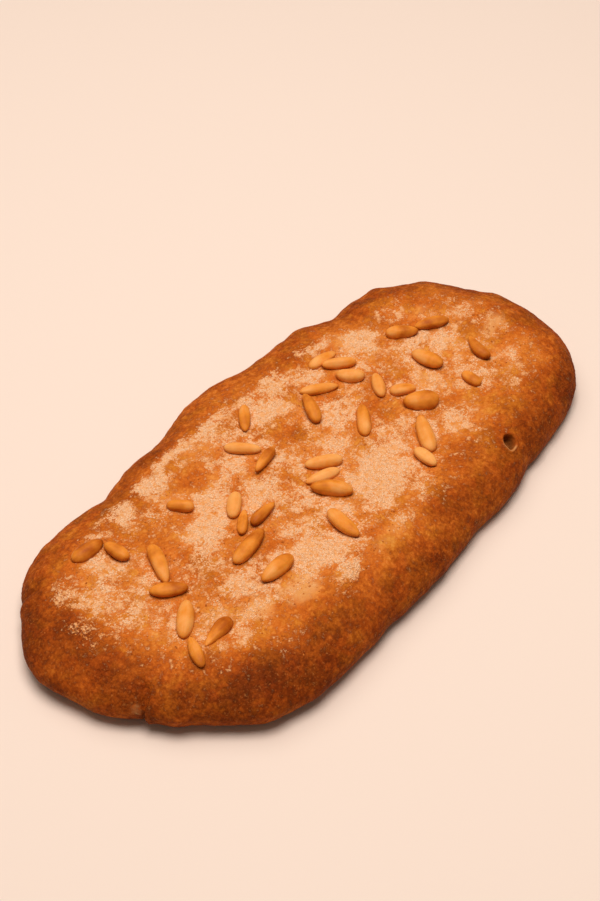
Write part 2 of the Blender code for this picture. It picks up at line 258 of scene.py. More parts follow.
def kernel_print(x, y):
    """For points over the crust: distance outside the nearest kernel's outline (mm, negative inside), the height of that
    kernel's underside, and its number."""
    gap = np.full(len(x), 99.0)
    under = np.full(len(x), 99.0)
    which = np.full(len(x), -1)
    for k, n in enumerate(KERNELS):
        ax = n["axis"][:2] / np.linalg.norm(n["axis"][:2])
        dx, dy = x - n["middle"][0], y - n["middle"][1]
        near = np.abs(dx) + np.abs(dy) < 26
        if not near.any():
            continue
        u = (dx * ax[0] + dy * ax[1])[near]
        v = (-dx * ax[1] + dy * ax[0])[near]
        half = n["length"] / 2 * np.linalg.norm(n["axis"][:2])
        t = np.clip(u / half, -0.999, 0.999)
        v = v - n["form"][2] * n["length"] * (0.5 - t * t)
        g = girth(t, n["form"]) * n["width"] / 2
        beyond = np.maximum(np.abs(u) - half * 0.97, 0)
        d = np.hypot(np.maximum(np.abs(v) - g, 0), beyond)
        inside = (np.abs(v) < g) & (np.abs(u) < half)
        d = np.where(inside, np.abs(v) - g, d)
        z = n["middle"][2] + t * n["length"] / 2 * n["axis"][2]
        low = z - girth(t, n["form"]) * n["thick"] / 2 * np.sqrt(np.maximum(0, 1 - (v / np.maximum(g, 1e-6)) ** 2))
        idx = np.where(near)[0]
        better = d < gap[idx]
        gap[idx[better]], which[idx[better]] = d[better], k
        low = np.where(inside, low, 99.0)
        under[idx] = np.minimum(under[idx], low)
    return gap, under, which


# =============================================================================================
# The bread's skin as one closed mesh
# =============================================================================================
SEGMENTS = 640


def skin_rings():
    """Rows of (kind, value) from the spine out over the top, round the rim and in under the sole."""
    rows = []
    for f in np.linspace(0.0, 1.0, 45, endpoint=False):
        rows.append(("plateau", f))
    for a in np.linspace(90, 0, 37):
        rows.append(("shoulder", a))
    for a in np.linspace(0, 90, 15)[1:]:
        rows.append(("foot", a))
    for f in np.linspace(1.0, 0.0, 8)[1:]:
        rows.append(("sole", f))
    return rows


def build_skin():
    rows = skin_rings()
    share = np.arange(SEGMENTS) / SEGMENTS
    rim, out = RIM.at(share)
    spine = np.stack([np.clip(rim[:, 0] * 0 + RIM._pick(RIM.base, share)[:, 0], -SPINE, SPINE), np.zeros(SEGMENTS)], 1)
    edge = rim - out * SHOULDER
    foot, waist = foot_at(share)
    foot_edge = rim - out * foot[:, None]
    verts, tags = [], []
    for kind, value in rows:
        if kind == "plateau":
            p = spine + (edge - spine) * value
            z = np.full(SEGMENTS, np.nan)
        elif kind == "shoulder":
            f = cos(radians(value)) ** (2 / SHOULDER_POWER) if value < 90 else 0.0
            p = rim - out * (SHOULDER * (1 - f))
            z = np.full(SEGMENTS, np.nan)
        elif kind == "foot":
            a = radians(value)
            p = rim - out * (foot * (1 - cos(a)))[:, None]
            z = waist * (1 - sin(a))
        else:
            p = spine + (foot_edge - spine) * value
            z = np.zeros(SEGMENTS)
        verts.append(np.column_stack([p, z]))
    top_rows = sum(1 for k, _ in rows if k in ("plateau", "shoulder"))
    co = np.concatenate(verts)
    faces = []
    n = SEGMENTS
    for r in range(len(rows) - 1):
        a = r * n + np.arange(n)
        b = r * n + (np.arange(n) + 1) % n
        faces.append(np.stack([a, a + n, b + n, b], 1))
    return co, np.concatenate(faces), top_rows * n


def rim_tree():
    pts, _ = RIM.at(np.arange(2880) / 2880)
    tree = KDTree(len(pts))
    for k, p in enumerate(pts):
        tree.insert((p[0], p[1], 0), k)
    tree.balance()
    return tree


TREE = rim_tree()


def inset_and_share(x, y):
    inset, share = np.empty(len(x)), np.empty(len(x))
    for k in range(len(x)):
        _, i, d = TREE.find((x[k], y[k], 0))
        inset[k], share[k] = d, i / 2880
    return inset, share


def smooth_top(x, y, inset, share):
    p = level(x, y, inset)
    waist = foot_at(share)[1]
    drop = np.clip(1 - inset / SHOULDER, 0, 1)
    return waist + (p - waist) * (1 - drop ** SHOULDER_POWER) ** (1 / SHOULDER_POWER)


def relief(p, inset, share):
    """How far the skin stands out along its normal, mm, before the kernels press in."""
    flank = ease(-inset, -20, -6)
    lumps = 0.60 * fractal(p * [1, 1, 1.6], 24, 2, 3)
    puffs = 0.26 * fractal(p, 8.5, 2, 11) * (0.6 + 0.6 * flank)
    grain = 0.11 * fractal(p, 3.1, 2, 29)
    # short wrinkles that run round the loaf on the shoulder
    wr = np.stack([p[:, 0] * 0.45, p[:, 1], p[:, 2]], 1)
    wrinkle = -0.22 * np.exp(-(noise3(wr / 9.0, 71) / 0.10) ** 2) * ease(fractal(p, 30, 1, 77), -0.05, 0.35)
    d = lumps + puffs + grain + wrinkle
    # the lapped dough: the -Y side lies over the other in a short curved edge
    gap = RIM.gap(share, FOLD_SHARE) + 0.010 * inset ** 2 - 0.4
    reach = ease(-inset, -13, -7)
    d = d + 1.0 * ease(gap, -0.45, 0.35) * np.exp(-np.maximum(gap, 0) / 9.0) * reach
    d = d - 0.9 * np.exp(-((gap + 0.75) / 0.75) ** 2) * reach - 0.5 * np.exp(-((gap + 4) / 3.5) ** 2) * reach
    # the wrinkle at the other corner
    gap = RIM.gap(share, CREASE_SHARE) + 0.03 * inset ** 1.5
    reach = ease(-inset, -18, -11)
    d = d - 0.8 * np.exp(-(gap / 1.2) ** 2) * reach + 0.45 * np.exp(-((gap - 3.2) / 2.6) ** 2) * reach
    return d


def refine(bm, wanted, cuts):
    edges = {e for f in bm.faces if wanted(f) for e in f.edges}
    bmesh.ops.subdivide_edges(bm, edges=list(edges), cuts=cuts, use_grid_fill=True)


def pit_shape(p, nor, upper):
    """The open blister's own frame: how far toward the near or far wall, and distance in units of its half axes."""
    hx, hy, across, along, _ = PIN_HOLE
    near = upper & (np.hypot(p[:, 0] - hx, p[:, 1] - hy) < 5)
    plumb = nor[near].mean(0)
    plumb /= np.linalg.norm(plumb)
    centre = p[near].mean(0)
    centre[:2] = hx, hy
    d = p - centre
    d = d - (d @ plumb)[:, None] * plumb
    h = radians(PIN_HEADING)
    u = (d[:, 0] * cos(h) + d[:, 1] * sin(h)) / along
    v = (-d[:, 0] * sin(h) + d[:, 1] * cos(h)) / across
    rr = np.hypot(u, v) * (1 + 0.05 * np.sin(3 * np.arctan2(v, u) + 0.6) + 0.03 * np.sin(5 * np.arctan2(v, u)))
    return -u, u, rr, plumb


def build_bread():
    co, faces, top = build_skin()
    inset, share = inset_and_share(co[:top, 0], co[:top, 1])
    co[:top, 2] = smooth_top(co[:top, 0], co[:top, 1], inset, share)
    bm = bmesh.new()
    vs = [bm.verts.new(c) for c in co]
    for f in faces:
        bm.faces.new([vs[i] for i in f])
    bmesh.ops.remove_doubles(bm, verts=bm.verts, dist=0.004)
    bm.faces.ensure_lookup_table()
    # finer skin where kernels, the open blister and the lapped dough need it
    centre = np.array([f.calc_center_median() for f in bm.faces])
    gap, _, _ = kernel_print(centre[:, 0], centre[:, 1])
    near_top = centre[:, 2] > 14
    hole = np.hypot(centre[:, 0] - PIN_HOLE[0], centre[:, 1] - PIN_HOLE[1]) < 7.5
    fx, fy = RIM.at(np.array([FOLD_SHARE]))[0][0]
    fold = np.hypot(centre[:, 0] - fx, centre[:, 1] - fy) < 14
    pick = (near_top & (gap < 1.45)) | (hole & near_top) | (fold & (centre[:, 2] > 0.5))
    edges = {e for f, ok in zip(bm.faces, pick) if ok for e in f.edges}
    bmesh.ops.subdivide_edges(bm, edges=list(edges), cuts=1, use_grid_fill=True)
    bm.faces.ensure_lookup_table()
    centre = np.array([f.calc_center_median() for f in bm.faces])
    hole = (np.hypot(centre[:, 0] - PIN_HOLE[0], centre[:, 1] - PIN_HOLE[1]) < 6.0) & (centre[:, 2] > 14)
    sx, sy = RIM.at(np.array([FOLD_SHARE - 0.001]))[1][0]
    side = (centre[:, 0] - fx) * -sy + (centre[:, 1] - fy) * sx
    fold = (np.abs(side) < 3.2) & (np.hypot(centre[:, 0] - fx, centre[:, 1] - fy) < 13) & (centre[:, 2] > 0.5)
    hole = hole | fold
    edges = {e for f, ok in zip(bm.faces, hole) if ok for e in f.edges}
    bmesh.ops.subdivide_edges(bm, edges=list(edges), cuts=1, use_grid_fill=True)
    bmesh.ops.triangulate(bm, faces=[f for f in bm.faces if len(f.verts) > 4])
    bmesh.ops.recalc_face_normals(bm, faces=bm.faces)
    mesh = bpy.data.meshes.new("coca_bread_look")
    bm.to_mesh(mesh)
    bm.free()

    n = len(mesh.vertices)
    p = np.empty(n * 3)
    mesh.vertices.foreach_get("co", p)
    p = p.reshape(-1, 3)
    nor = np.empty(n * 3, np.float32)
    mesh.vertices.foreach_get("normal", nor)
    nor = nor.reshape(-1, 3).astype(float)
    inset, share = inset_and_share(p[:, 0], p[:, 1])
    waist = foot_at(share)[1]
    upper = p[:, 2] > waist + 0.01
    # the subdivided points are put back on the true top
    exact = smooth_top(p[:, 0], p[:, 1], inset, share)
    flat = upper & (inset > 3)
    p[flat, 2] = exact[flat]
    inset_signed = np.where(p[:, 2] >= waist - 0.01, inset, -0.2 * inset)
    lift = relief(p, np.maximum(inset_signed, 0), share) * ease(p[:, 2], 0.4, 4.0)
    p = p + nor * lift[:, None]
    # the open blister: a round-walled pit with a torn, slightly raised lip
    pit_near, pit_far, rr, plumb = pit_shape(p, nor, upper)
    hd = PIN_HOLE[4]
    depth = np.where(pit_near > 0, hd * (1 - ease(rr, 0.45, 1.04)), hd * (1 - ease(rr, 0.72, 1.02)))
    rimming = 0.32 * np.exp(-((rr - 1.22) / 0.16) ** 2)
    pit = upper & (rr < 2.2)
    p = p + np.where(pit, rimming - depth, 0)[:, None] * plumb
    # kernels press the crust down and sit in it
    gap, under, which = kernel_print(p[:, 0], p[:, 1])
    over = upper & (p[:, 2] > 15)
    loose = ease(fractal(p, 5.0, 2, 411), -0.35, 0.45)       # in places the crust lets go of the kernel, elsewhere it climbs up to it
    moat = (0.50 * loose - 0.10) * np.exp(-(np.maximum(gap, 0) / 1.0) ** 2) - 0.10 * np.exp(-((gap - 3.0) / 1.4) ** 2)
    p[over, 2] -= moat[over]
    seat = over & (under < 90)
    p[seat, 2] = np.minimum(p[seat, 2], under[seat] + 0.12)
    low = ~upper
    p[:, 2] = np.maximum(p[:, 2], 0.0)
    mesh.vertices.foreach_set("co", (p * MM).astype(np.float32).ravel())
    mesh.update()
    mesh.shade_smooth()
    info = dict(p=p, inset=inset, share=share, upper=upper, gap=gap, under=under, pit=rr, pit_near=pit_near)
    return mesh, info


mesh, info = build_bread()
bread = bpy.data.objects.new("coca_bread_look", mesh)
bpy.context.scene.collection.objects.link(bread)


# =============================================================================================
# Where the crust browned, where the sugar lies, and where shade is painted: fields over the loaf
# =============================================================================================
SUGAR = (  # x, y, half length, half width, heading, strength
    (-73, 46, 9, 7, 10, 0.75), (-52, 47, 9, 8, 0, 0.95), (-98, 27, 11, 6, -30, 0.55), (-57, 9, 14, 7, 15, 0.95),
    (-46, 21, 8, 9, 0, 0.72), (-108, 19, 11, 9, 0, 0.52), (-102, 2, 9, 8, 0, 0.36), (-106, -18, 10, 9, 0, 0.34), (-118, 8, 9, 14, 0, 0.20), (-112, -5, 8, 7, 0, 0.26),
    (-88, -23, 9, 10, 0, 0.38), (-75, -5, 8, 6, 0, 0.48), (-25, -5, 9, 7, 0, 0.45), (29, 10, 10, 9, 0, 0.80), (-70, -17, 9, 5, 20, 0.75), (-73, -32, 12, 7, 0, 0.46), (-45, -29, 8, 9, 0, 0.80),
    (-35, 48, 17, 5, 0, 0.85), (-10, 47, 16, 5, 0, 0.62), (-22, 28, 11, 8, -10, 0.75), (-25, 8, 10, 10, 0, 0.80),
    (-9, 9, 8, 6, 0, 0.55), (-10, 38, 9, 6, 0, 0.60), (-35, 3, 8, 6, 0, 0.60), (12, 34, 11, 7, 0, 1.00),
    (25, 45, 9, 7, 0, 0.85), (8, 46, 9, 5, 0, 0.62), (15, 2, 12, 6, 0, 0.65), (26, 8, 8, 7, 0, 0.55),
    (-14, -9, 9, 6, 0, 0.60), (12, -24, 18, 13, 15, 1.00), (-12, -22, 6, 10, 0, 0.75), (-33, -33, 13, 10, 20, 0.95),
    (-30, -18, 9, 6, 0, 0.75), (-37, -47, 7, 4, 0, 0.80), (33, -19, 9, 7, 0, 0.70), (26, -36, 8, 5, 0, 0.60),
    (38, 38, 9, 7, 0, 0.60), (54, 46, 12, 4, 0, 0.60), (69, 33, 10, 8, 20, 0.90), (68, 22, 8, 5, 0, 0.55),
    (98, 32, 12, 5, -20, 0.42), (90, 12, 13, 6, 0, 0.65), (74, 4, 8, 7, 0, 0.55), (96, 3, 7, 5, 0, 0.70),
    (117, 11, 10, 7, 0, 0.38), (117, -6, 9, 6, 10, 0.40), (72, -6, 7, 5, 0, 0.55), (105, -27, 8, 6, 0, 0.30),
    (61, -33, 9, 6, 10, 0.50), (85, -27, 4, 4, 0, 0.50), (92, -37, 6, 4, 0, 0.45), (46, 14, 8, 6, 0, 0.50),
    (58, -24, 7, 4, 0, 0.45), (24, 20, 6, 5, 0, 0.45), (-88, 12, 7, 8, 0, 0.40), (-118, 30, 7, 8, 0, 0.40),
    (-84, 44, 6, 6, 0, 0.35), (-60, -25, 7, 5, 0, 0.55), (-90, -36, 9, 4, 0, 0.50), (0, -46, 9, 4, 0, 0.35),
)
PASTE = (  # smooth pale places with little browning and little grain
    (-56, -39, 9, 7, 0, 0.85), (-136, -26, 3, 3, 0, 0.45), (-74, -33, 9, 6, 0, 0.7), (118, -7, 9, 5, 10, 0.8), (-88, -24, 8, 7, 0, 0.5),
    (12, -24, 14, 9, 0, 0.40), (73, -5, 6, 7, 60, 0.7), (-98, 29, 7, 5, -30, 0.5), (66, 38, 7, 5, 0, 0.35),
    (95, 4, 6, 4, 0, 0.5), (-11, -48, 13, 4, 5, 0.35), (104, 24, 6, 5, 0, 0.4), (12, 34, 8, 4, 0, 0.4),
    (-35, -32, 9, 7, 0, 0.4), (96, 12, 8, 4, 0, 0.5),
)
BROWN = (  # darker or lighter bakes of the crust
    (8, 21, 9, 7, 0, 0.07), (-38, 36, 9, 6, -10, 0.12), (-70, 24, 12, 13, 40, 0.08), (-50, -55, 20, 6, 4, 0.12),
    (-95, -54, 20, 10, -25, 0.32), (15, -54, 8, 7, 0, 0.14), (-128, 14, 9, 20, 0, 0.20), (122, -50, 20, 10, 25, 0.14),
    (-8, -50, 14, 4, 0, -0.14), (-132, -12, 9, 12, 0, 0.12), (-126, 6, 12, 14, 0, 0.13), (-140, -2, 4, 17, 0, -0.10), (20, -64, 13, 5, 0, -0.07), (-113, -31, 10, 7, 0, -0.06), (-122, 44, 12, 7, 40, 0.03), (45, -43, 14, 7, 0, 0.16),
    (-84, -45, 14, 5, 0, 0.02), (135, 20, 8, 25, 0, 0.05), (104, 40, 14, 6, -15, 0.05), (5, 60, 25, 6, 0, -0.06),
    (-36, 57, 10, 3, 0, 0.14), (80, -56, 14, 8, 0, 0.05), (-125, -33, 8, 6, 0, 0.04), (-52, -17, 8, 5, 0, 0.08),
    (33, 18, 6, 8, 0, 0.08), (44, 1, 6, 7, 0, 0.06), (-30, -8, 8, 5, 0, 0.01), (104, 27, 10, 6, -15, 0.06), (118, -6, 10, 7, 0, 0.09), (-95, 54, 16, 5, 0, -0.09),
    (62, 18, 6, 5, 0, 0.05), (88, -2, 6, 8, 0, -0.04), (-3, -66, 8, 4, 0, 0.12), (-142, 24, 6, 7, 0, 0.08),
)


BARE = (  # places that the sugar missed
    (-72, 20, 8, 12, 30, 0.75), (-62, 22, 6, 5, 0, 0.55), (-40, 32, 11, 5, -10, 0.80), (8, 20, 10, 6, 0, 0.65), (-48, -17, 9, 4, 0, 0.45),
    (36, 22, 6, 5, 0, 0.40), (46, -2, 7, 5, 0, 0.50), (-28, -12, 8, 4, 0, 0.35), (106, 24, 8, 6, 0, 0.60), (-75, -6, 5, 5, 0, 0.30),
)


def stirred(p, wide, narrow, seed):
    """Positions pushed about by noise, so that a patch gets a ragged edge."""
    x = p[:, 0] + wide * fractal(p, 15, 2, seed) + narrow * fractal(p, 5.5, 2, seed + 7)
    y = p[:, 1] + wide * fractal(p, 15, 2, seed + 31) + narrow * fractal(p, 5.5, 2, seed + 43)
    return x, y


def zones(table, x, y):
    """Each patch is level inside and falls off over its edge."""
    out = np.zeros(len(x))
    for cx, cy, hl, hw, heading, strength in table:
        r2 = -np.log(np.maximum(oval(x, y, cx, cy, hl, hw, heading), 1e-12))
        out = np.maximum(out, strength * np.exp(-(r2 ** 1.5)))
    return out


def summed(table, x, y):
    out = np.zeros(len(x))
    for cx, cy, hl, hw, heading, strength in table:
        out += strength * oval(x, y, cx, cy, hl, hw, heading)
    return out


def paint_fields():
    p, inset, upper = info["p"], info["inset"], info["upper"]
    x, y, z = p[:, 0], p[:, 1], p[:, 2]
    rim = ease(-inset, -30, -12)                       # 1 over the shoulder and beyond
    # the oven browns the shoulder most
    brown = 0.325 + 0.15 * rim + 0.15 * ease(-inset, -16, -4)
    brown = brown + summed(BROWN, x, y) * np.where(upper, 1, 0.4)
    brown = brown + 0.07 * fractal(p, 26, 2, 101) + 0.06 * fractal(p, 9, 2, 103)
    # the +Y flank faced the cooler side of the oven
    brown = brown - 0.10 * ease(y, 45, 68) * rim
    # painted shade: the roll under the rim, below the widest line, is painted darker
    under_rim_shade = ease(EQUATOR - z, 0.0, 7.0) * (~upper)
    brown = brown * (1 + 0.12 * under_rim_shade)
    sole = (~upper) & (z < 0.6)
    brown = np.where(sole, 0.44 + 0.10 * fractal(p, 14, 3, 105), brown)
    wx, wy = stirred(p, 4.2, 2.6, 211)
    sugar = zones(SUGAR, wx, wy) * np.where(upper, 1, 0) * (1 - 0.8 * ease(-inset, -18, -8))
    sprinkle = (0.27 + 0.12 * ease(inset, 26, 36) + 0.20 * fractal(p, 13, 2, 117) + 0.18 * fractal(p, 4.5, 2, 119)) * np.where(upper, 1, 0) * (0.12 + 0.88 * ease(inset, 9, 25))
    sugar = (np.maximum(sugar, sprinkle) + 0.35 * np.minimum(sugar, sprinkle)) * (1 - zones(BARE, wx, wy))
    sugar = sugar + 0.30 * fractal(p, 6.5, 3, 111, 0.65) * ease(sugar, 0.12, 0.4)
    wx, wy = stirred(p, 2.0, 1.5, 251)
    paste = zones(PASTE, wx, wy) * np.where(upper, 1, 0)
    paste = np.clip(paste * (1 + 0.3 * fractal(p, 6, 2, 121)), 0, 1)
    brown = brown - 0.16 * paste + 0.03 * np.clip(sugar, 0, 1)
    # painted shade: the crust right round each kernel is painted darker, as the kernel's contact shadow
    shade = np.exp(-(np.maximum(info["gap"], 0) / 1.2) ** 2) * upper
    rr, near = info["pit"], info["pit_near"]
    # painted shade: the open blister's inside is painted dark, less so on its near wall, as the shade inside the pit
    hole = (1 - ease(rr, 0.80, 1.02)) * upper * (1 - 0.55 * ease(near, 0.35, 0.85))
    lip = np.exp(-((rr - 1.05) / 0.17) ** 2) * ease(near + 0.5 * np.abs(np.clip(rr, 0, 1)), 0.1, 1.0) * upper
    info.update(brown=np.clip(brown, 0, 1), sugar=np.clip(sugar, 0, 1), paste=np.clip(paste + 0.7 * lip, 0, 1), hole=hole, shade=shade, sole=sole.astype(float))
    for name in ("brown", "sugar", "paste", "hole", "shade", "sole"):
        a = mesh.attributes.new(name, "FLOAT", "POINT")
        a.data.foreach_set("value", info[name].astype(np.float32))


paint_fields()


# =============================================================================================
# Materials
# =============================================================================================
class Nodes:
    """Small helper to wire a node tree."""

    def __init__(self, name):
        self.material = bpy.data.materials.new(name)
        self.material.use_nodes = True
        self.tree = self.material.node_tree
        self.shader = self.tree.nodes["Principled BSDF"]
        self.coords = self.tree.nodes.new("ShaderNodeTexCoord").outputs["Object"]

    def link(self, source, target):
        self.tree.links.new(source, target)

    def put(self, node, key, value):
        socket = node.inputs[key]
        if isinstance(value, bpy.types.NodeSocket):
            self.link(value, socket)
        else:
            socket.default_value = value

    def noise(self, scale, detail=3.0, rough=0.55, distort=0.0, coords=None):
        n = self.tree.nodes.new("ShaderNodeTexNoise")
        self.link(coords or self.coords, n.inputs["Vector"])
        n.inputs["Scale"].default_value = scale
        n.inputs["Detail"].default_value = detail
        n.inputs["Roughness"].default_value = rough
        n.inputs["Distortion"].default_value = distort
        return n.outputs["Fac"]

    def bent(self, scale, amount):
        """Object coordinates stirred by noise, so that cells get ragged edges."""
        n = self.tree.nodes.new("ShaderNodeTexNoise")
        self.link(self.coords, n.inputs["Vector"])
        n.inputs["Scale"].default_value = scale
        shift = self.tree.nodes.new("ShaderNodeVectorMath")
        shift.operation = "MULTIPLY_ADD"
        self.link(n.outputs["Color"], shift.inputs[0])
        shift.inputs[1].default_value = (amount, amount, amount)
        self.link(self.coords, shift.inputs[2])
        return shift.outputs[0]

    def cells(self, scale, feature="F1", coords=None, randomness=1.0):
        n = self.tree.nodes.new("ShaderNodeTexVoronoi")
        n.feature = feature
        self.link(coords or self.coords, n.inputs["Vector"])
        n.inputs["Scale"].default_value = scale
        n.inputs["Randomness"].default_value = randomness
        return n

    def attribute(self, name):
        n = self.tree.nodes.new("ShaderNodeAttribute")
        n.attribute_name = name
        return n.outputs["Fac"]

    def math(self, op, a, b=0.0, c=None, clamp=False):
        n = self.tree.nodes.new("ShaderNodeMath")
        n.operation = op
        n.use_clamp = clamp
        self.put(n, 0, a)
        self.put(n, 1, b)
        if c is not None:
            self.put(n, 2, c)
        return n.outputs[0]

    def band(self, x, low, high, out_low=0.0, out_high=1.0):
        n = self.tree.nodes.new("ShaderNodeMapRange")
        n.interpolation_type = "SMOOTHSTEP"
        self.put(n, "Value", x)
        for key, v in (("From Min", low), ("From Max", high), ("To Min", out_low), ("To Max", out_high)):
            n.inputs[key].default_value = v
        return n.outputs["Result"]

    def ramp(self, x, stops):
        n = self.tree.nodes.new("ShaderNodeValToRGB")
        r = n.color_ramp
        while len(r.elements) < len(stops):
            r.elements.new(0.5)
        for e, (pos, col) in zip(r.elements, stops):
            e.position = pos
            e.color = (*col, 1.0)
        self.put(n, 0, x)
        return n.outputs["Color"]

    def blend(self, factor, a, b, mode="MIX"):
        n = self.tree.nodes.new("ShaderNodeMix")
        n.data_type = "RGBA"
        n.blend_type = mode
        self.put(n, 0, factor)
        for key, v in ((6, a), (7, b)):
            if isinstance(v, tuple):
                n.inputs[key].default_value = (*v, 1.0)
            else:
                self.link(v, n.inputs[key])
        return n.outputs[2]

    def bump(self, height, strength, distance, under=None):
        n = self.tree.nodes.new("ShaderNodeBump")
        n.inputs["Strength"].default_value = strength
        n.inputs["Distance"].default_value = distance
        self.link(height, n.inputs["Height"])
        if under is not None:
            self.link(under, n.inputs["Normal"])
        return n.outputs["Normal"]


def crust_material():
    m = Nodes("baked_crust")
    brown, sugar, paste = m.attribute("brown"), m.attribute("sugar"), m.attribute("paste")
    hole, shade, sole = m.attribute("hole"), m.attribute("shade"), m.attribute("sole")
    centred = lambda x, k: m.math("MULTIPLY", m.math("SUBTRACT", x, 0.5), k)
    broad = m.noise(75, 3)
    mid = m.noise(230, 3, 0.6)
    small = m.noise(480, 3, 0.6)
    fine = m.noise(950, 3, 0.65)
    sand = m.noise(2200, 2, 0.7)
    # crumbs of the glaze: every little cell bakes to its own shade
    bent = m.bent(900, 0.0009)
    crumb = m.cells(620, coords=bent).outputs["Color"]
    meal = m.cells(1300, coords=bent).outputs["Color"]
    tone = m.math("ADD", brown, centred(broad, 0.34))
    tone = m.math("ADD", tone, centred(mid, 0.50))
    tone = m.math("ADD", tone, centred(small, 0.52))
    tone = m.math("ADD", tone, centred(fine, 0.34))
    tone = m.math("ADD", tone, centred(crumb, 0.16))
    tone = m.math("ADD", tone, centred(meal, 0.09))
    tone = m.math("ADD", tone, centred(sand, 0.10), clamp=True)
    stops = [
        (0.00, (0.80, 0.42, 0.150)),
        (0.16, (0.72, 0.285, 0.058)),
        (0.34, (0.58, 0.168, 0.019)),
        (0.54, (0.37, 0.083, 0.007)),
        (0.75, (0.19, 0.036, 0.003)),
        (1.00, (0.07, 0.012, 0.001)),
    ]
    crust = m.ramp(tone, stops)
    # some places bake golden, others redder
    golden = m.ramp(tone, [(pos, (c[0] * 0.99, c[1] * 1.11, c[2] * 0.95)) for pos, c in stops])
    ruddy = m.ramp(tone, [(pos, (c[0] * 1.00, c[1] * 0.91, c[2] * 0.88)) for pos, c in stops])
    crust = m.blend(m.band(m.noise(80, 3, 0.55), 0.46, 0.60), crust, golden)
    crust = m.blend(m.band(m.noise(110, 3, 0.55), 0.60, 0.46), ruddy, crust)
    # little dark pores and burnt specks
    spots = m.cells(420)
    speck = m.band(spots.outputs["Distance"], 0.22, 0.10)
    speck = m.math("MULTIPLY", speck, m.band(m.noise(120, 2), 0.50, 0.66))
    speck = m.math("MULTIPLY", speck, m.band(paste, 0.5, 0.1))
    crust = m.blend(m.math("MULTIPLY", speck, 0.60), crust, (0.10, 0.022, 0.004))
    # fine dust of crumbs that stays everywhere on the top and the rim
    dust = m.math("ADD", m.math("ADD", m.noise(1100, 3, 0.7), centred(meal, 0.22)), centred(small, 0.35))
    dust = m.band(dust, 0.58, 0.74, 0.0, 0.38)
    crust = m.blend(m.math("MULTIPLY", dust, m.math("SUBTRACT", 1.0, sole)), crust, (0.64, 0.245, 0.060))
    # sugar that melted into the crust leaves a pale granular frost
    frost = m.math("ADD", m.math("MULTIPLY", sugar, 0.85), centred(mid, 0.80))
    frost = m.math("ADD", frost, centred(small, 1.30))
    frost = m.math("ADD", frost, centred(fine, 1.05))
    frost = m.math("ADD", frost, centred(crumb, 0.42))
    frost = m.math("ADD", frost, centred(meal, 0.22))
    frost = m.math("MULTIPLY", m.band(frost, 0.27, 0.74), m.band(sugar, 0.01, 0.15, 0.14, 1.0))
    grainy = m.math("ADD", m.noise(430, 3, 0.6), centred(m.noise(900, 2, 0.6), 0.5))
    rime = m.blend(m.band(grainy, 0.34, 0.66), (0.74, 0.355, 0.125), (0.84, 0.53, 0.290))
    crust = m.blend(m.math("MULTIPLY", frost, 0.92), crust, rime)
    smear = m.band(m.math("ADD", m.math("ADD", paste, centred(mid, 0.9)), centred(fine, 0.5)), 0.12, 1.05)
    crust = m.blend(m.math("MULTIPLY", smear, 0.75), crust, m.blend(m.band(small, 0.35, 0.65), (0.72, 0.385, 0.15), (0.78, 0.45, 0.19)))
    # painted shade round the kernels
    crust = m.blend(m.math("MULTIPLY", shade, 0.25), crust, (0.42, 0.15, 0.030))
    # painted shade inside the open blister
    crust = m.blend(hole, crust, m.ramp(fine, [(0.3, (0.14, 0.035, 0.006)), (0.7, (0.30, 0.11, 0.025))]))
    dusty = m.math("MULTIPLY", sole, m.band(m.noise(150, 4), 0.42, 0.68, 0.0, 0.45))
    crust = m.blend(dusty, crust, (0.70, 0.48, 0.28))
    m.link(crust, m.shader.inputs["Base Color"])
    m.link(m.band(fine, 0.3, 0.7, 0.62, 0.86), m.shader.inputs["Roughness"])
    m.shader.inputs["Specular IOR Level"].default_value = 0.07
    pores = m.cells(650)
    n1 = m.bump(m.noise(330, 4, 0.55), 0.7, 0.0011)
    n2 = m.bump(m.band(pores.outputs["Distance"], 0.05, 0.6), 0.30, 0.0004, n1)
    n3 = m.bump(m.noise(1300, 3, 0.65), 0.45, 0.0003, n2)
    m.link(n3, m.shader.inputs["Normal"])
    return m.material


def kernel_material(name, pale, gold, deep):
    m = Nodes(name)
    toast = m.attribute("toast")
    broad = m.noise(170, 3)
    fine = m.noise(700, 4, 0.6)
    tone = m.math("ADD", toast, m.math("MULTIPLY", m.math("SUBTRACT", broad, 0.5), 0.55))
    tone = m.math("ADD", tone, m.math("MULTIPLY", m.math("SUBTRACT", fine, 0.5), 0.10), clamp=True)
    colour = m.ramp(tone, [(0.0, pale), (0.38, gold), (0.72, deep), (1.0, tuple(c * 0.42 for c in deep))])
    m.link(colour, m.shader.inputs["Base Color"])
    m.link(m.band(fine, 0.3, 0.7, 0.46, 0.60), m.shader.inputs["Roughness"])
    m.shader.inputs["Specular IOR Level"].default_value = 0.18
    m.shader.inputs["Subsurface Weight"].default_value = 0.10
    m.shader.inputs["Subsurface Radius"].default_value = (1.0, 0.4, 0.12)
    m.shader.inputs["Subsurface Scale"].default_value = 0.0016
    n1 = m.bump(m.noise(500, 3), 0.35, 0.0002)
    n2 = m.bump(m.noise(2400, 2), 0.25, 0.00006, n1)
    m.link(n2, m.shader.inputs["Normal"])
    return m.material


def sugar_material():
    m = Nodes("sugar_grains")
    tint = m.attribute("tint")
    colour = m.ramp(tint, [(0.0, (0.89, 0.62, 0.405)), (0.35, (0.85, 0.49, 0.240)), (0.7, (0.72, 0.27, 0.065)), (1.0, (0.42, 0.108, 0.013))])
    m.link(colour, m.shader.inputs["Base Color"])
    m.link(m.band(m.noise(3000, 2), 0.3, 0.7, 0.42, 0.62), m.shader.inputs["Roughness"])
    m.shader.inputs["Specular IOR Level"].default_value = 0.07
    m.link(m.bump(m.noise(5000, 2), 0.2, 0.00005), m.shader.inputs["Normal"])
    return m.material


CRUST = crust_material()
mesh.materials.append(CRUST)
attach(bread, "root")
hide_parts("coca_bread")

